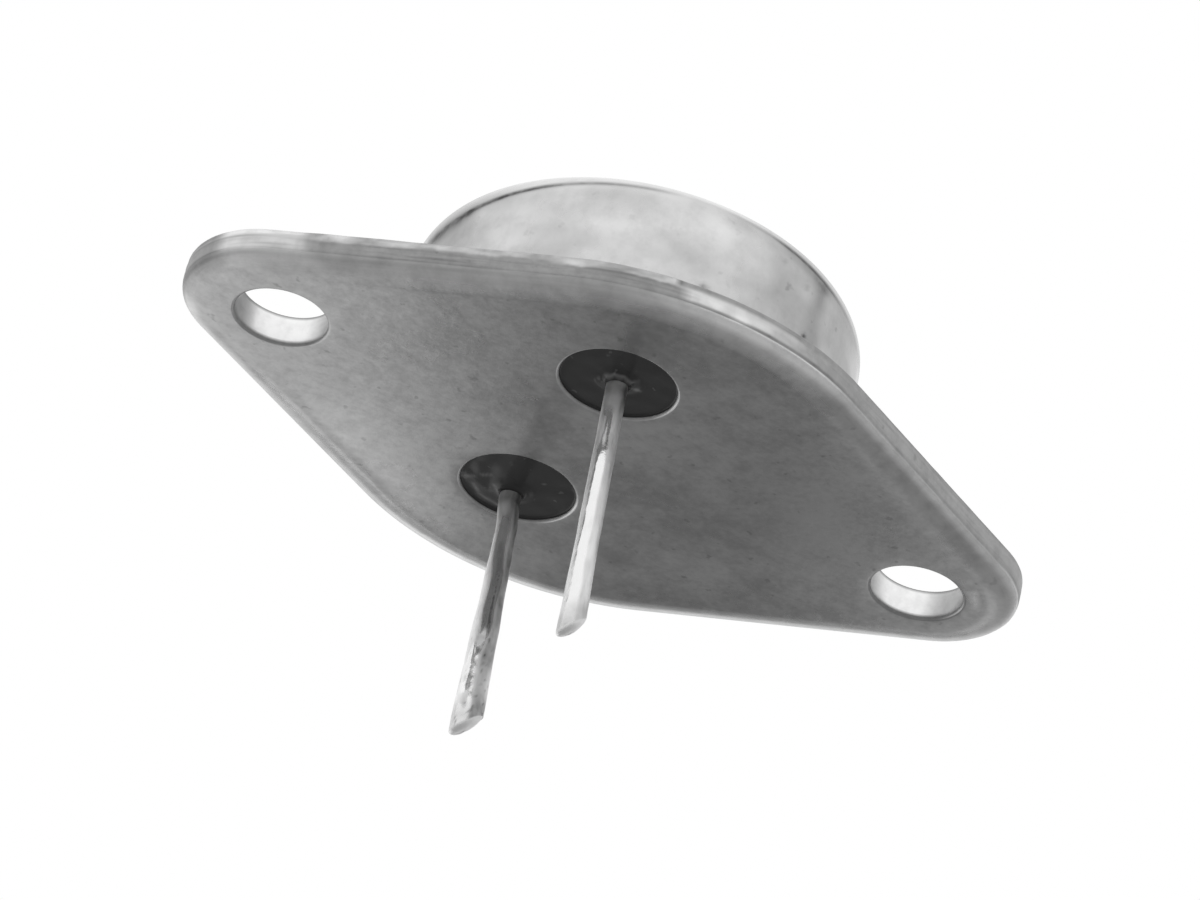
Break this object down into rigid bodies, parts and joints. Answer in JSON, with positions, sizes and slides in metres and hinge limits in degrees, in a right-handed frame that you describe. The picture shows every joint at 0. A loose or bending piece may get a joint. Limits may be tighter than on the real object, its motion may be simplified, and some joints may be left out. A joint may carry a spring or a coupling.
{
  "type": "power transistor",
  "caption": "Power transistor in a round metal can on a diamond-shaped flange, with leads through glass seals in its underside.",
  "frame": {"origin": "midway between the mounting holes, on the seating face of the header", "axes": "+X along the line of the mounting holes, away from the leads; +Z out of the seating face, towards the cap; the leads point along -Z"},
  "size_m": [0.0388, 0.025, 0.0208],
  "materials": {
    "header_plate": "dull nickel plate",
    "cap_plate": "satin nickel plate",
    "lead_plate": "bright nickel plate",
    "seal_glass": "opaque dark glass",
    "copper": "bare copper",
    "braze": "fused silver braze",
    "solder": "dull solder",
    "silicon": "polished silicon",
    "bond_metal": "bare aluminium"
  },
  "bodies": {
    "root": {"header": "header_plate", "cap": "cap_plate", "emitter_seal": "seal_glass", "base_seal": "seal_glass", "emitter_lead": "lead_plate", "base_lead": "lead_plate", "spreader_braze": "braze", "heat_spreader": "copper", "die_solder": "solder", "die": "silicon", "emitter_contact": "bond_metal", "base_contact": "bond_metal", "emitter_wire_front": "bond_metal", "emitter_wire_rear": "bond_metal", "base_wire": "bond_metal"}
  },
  "joints": []
}
